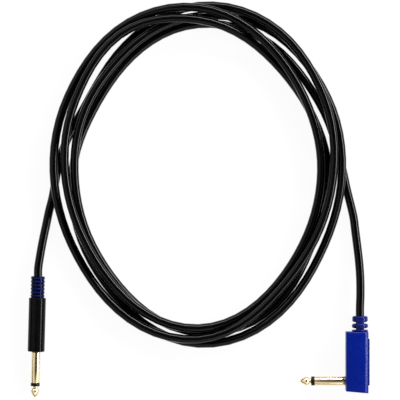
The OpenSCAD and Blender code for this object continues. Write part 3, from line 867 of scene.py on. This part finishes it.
class CABLE_OT_housing(bpy.types.Operator):
    """Cuts the right-angle plug's housing from a block."""

    bl_idname = "cable.housing"
    bl_label = "Housing"

    def execute(self, context):
        _, plug, _ = settings()
        lowest, highest = low("angle_housing"), high("angle_housing")
        slant = 1.4 * MM
        bevel_w = 2.3 * MM
        bevel_depth = 1.5 * MM
        end_bevel_l = 0.9 * MM
        end_bevel_depth = 0.6 * MM
        housing = block("angle_plug_housing", lowest, highest)
        width = highest.x - lowest.x
        cut_off(
            housing,
            Vector((highest.x, lowest.y, 0)),
            Vector((-slant, -width, 0)).normalized(),
        )
        faces = ((highest.z, 1), (lowest.z, -1))
        for z, up in faces:
            cut_off(
                housing,
                Vector((highest.x - bevel_w, 0, z)),
                Vector((bevel_depth, 0, up * bevel_w)).normalized(),
            )
        for z, up in faces:
            cut_off(
                housing,
                Vector((0, highest.y - end_bevel_l, z)),
                Vector((0, end_bevel_depth, up * end_bevel_l)).normalized(),
            )
        bevel(housing, plug.edge, angle=15)
        smooth(housing, angle=30)
        finish_piece(housing, housing_finish(), ["angle_housing"])
        return {"FINISHED"}


class CABLE_OT_side_plate(bpy.types.Operator):
    """Makes the housing's bare side plate, with rounded corners."""

    bl_idname = "cable.side_plate"
    bl_label = "Side plate"

    def execute(self, context):
        face = high("angle_housing").x
        lowest, highest = low("angle_side_plate"), high("angle_side_plate")
        sunk = 0.3 * MM
        corner = 0.4 * MM
        plate = block("angle_plug_side_plate", Vector((face - sunk, lowest.y, lowest.z)), highest)
        bevel(plate, corner)
        smooth(plate)
        finish_piece(plate, barrel_finish(), ["angle_side_plate"])
        return {"FINISHED"}


class CABLE_OT_relief(bpy.types.Operator):
    """Makes the right-angle plug's strain relief: three discs and the bar that joins them."""

    bl_idname = "cable.relief"
    bl_label = "Strain relief"

    def execute(self, context):
        _, plug, _ = settings()
        disc_r = 5.7 * MM
        end_disc_r = 5.45 * MM
        gap = 1.0 * MM
        bar_inset = 2.0 * MM
        last_inset = 0.5 * MM
        pieces = []
        z = 0.0
        for radius, thickness, edge in (
            (end_disc_r, 4.3 * MM, 1.2 * MM),
            (disc_r, 3.3 * MM, 1.4 * MM),
            (disc_r, 1.3 * MM, 0.5 * MM),
        ):
            pieces.append(self.disc(z, radius, thickness, edge, plug.sides))
            z += thickness + gap
        pieces.append(self.bar(bar_inset, z - gap - last_inset, plug.sides))
        only(pieces[0])
        for piece in pieces[1:]:
            piece.select_set(True)
        bpy.ops.object.join()
        relief = name_new("angle_plug_strain_relief")
        place = Matrix.Translation(ANGLE_MOUTH) @ Matrix.Rotation(math.radians(90), 4, "X")
        move_to(relief, place)
        smooth(relief, angle=40)
        finish_piece(relief, relief_finish(), ["angle_boot"])
        return {"FINISHED"}

    def disc(self, start, radius, thickness, edge, sides):
        """One disc with rounded corners. The first one has the mouth that the cable goes into."""
        outline = []
        if start == 0:
            outline += [(MOUTH_R, MOUTH_L), (MOUTH_R, 0)]
        outline += arc(radius - edge, start + edge, edge, -90, 0)
        outline += arc(radius - edge, start + thickness - edge, edge, 0, 90)
        return turned("disc", outline, sides)

    def bar(self, start, end, sides):
        """The bar through all discs, which shows over and under the cable."""
        bar_r = 5.0 * MM
        half_w = 2.0 * MM
        edge = 0.7 * MM
        made = turned("ribs", [(bar_r, start), (bar_r, end)], sides)
        for side in (1, -1):
            cut_off(made, Vector((side * half_w, 0, 0)), Vector((side, 0, 0)))
        bevel(made, edge)
        return made


class CABLE_OT_inside(bpy.types.Operator):
    """Gives the pieces inside both plugs their finishes."""

    bl_idname = "cable.inside"
    bl_label = "Inside pieces"

    def execute(self, context):
        steel = plain_finish("rod_steel", (0.55, 0.55, 0.57), 0.3, metallic=1.0)
        tinned = plain_finish("lug_tinned_brass", (0.7, 0.69, 0.64), 0.35, metallic=1.0)
        solder = plain_finish("solder_joint", (0.62, 0.63, 0.65), 0.28, metallic=1.0)
        copper = plain_finish("bare_copper", (0.8, 0.42, 0.26), 0.3, metallic=1.0)
        white = plain_finish("core_insulation", (0.8, 0.8, 0.77), 0.45)
        black = insulator_finish()
        jacket = jacket_finish()
        kinds = {
            "tip_rod": steel,
            "tip_lug": tinned,
            "ground_lug": tinned,
            "core_solder": solder,
            "ground_solder": solder,
            "shield": copper,
            "core_wire": copper,
            "core_sheath": white,
            "inner_mould": white,
            "core_insulator": black,
            "rear_washer": black,
            "jacket_end": jacket,
        }
        for node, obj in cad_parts.items():
            kind = node.split("_", 1)[1]
            if kind in kinds:
                obj.data.materials.clear()
                obj.data.materials.append(kinds[kind])
        return {"FINISHED"}


class CABLE_PT_panel(bpy.types.Panel):
    """Lists the steps and their settings."""

    bl_idname = "CABLE_PT_panel"
    bl_label = "Instrument cable"
    bl_space_type = "VIEW_3D"
    bl_region_type = "UI"
    bl_category = "Cable"

    def draw(self, context):
        for step in STEPS:
            self.layout.operator(step.bl_idname)
        for group in settings():
            box = self.layout.box()
            for name in group.__annotations__:
                box.prop(group, name)


STEPS = (
    CABLE_OT_stage,
    CABLE_OT_cord,
    CABLE_OT_prongs,
    CABLE_OT_barrel,
    CABLE_OT_boot,
    CABLE_OT_housing,
    CABLE_OT_side_plate,
    CABLE_OT_relief,
    CABLE_OT_inside,
)
GROUPS = {
    "cable_settings": CableSettings,
    "plug_settings": PlugSettings,
    "stage_settings": StageSettings,
}
CLASSES = (*GROUPS.values(), *STEPS, CABLE_PT_panel)


def register():
    for made in CLASSES:
        bpy.utils.register_class(made)
    for name, group in GROUPS.items():
        setattr(bpy.types.Scene, name, bpy.props.PointerProperty(type=group))


def unregister():
    for name in GROUPS:
        delattr(bpy.types.Scene, name)
    for made in reversed(CLASSES):
        bpy.utils.unregister_class(made)


def main():
    """Builds every piece."""
    register()
    for step in STEPS:
        family, name = step.bl_idname.split(".")
        getattr(getattr(bpy.ops, family), name)()


if __name__ == "__main__":
    main()
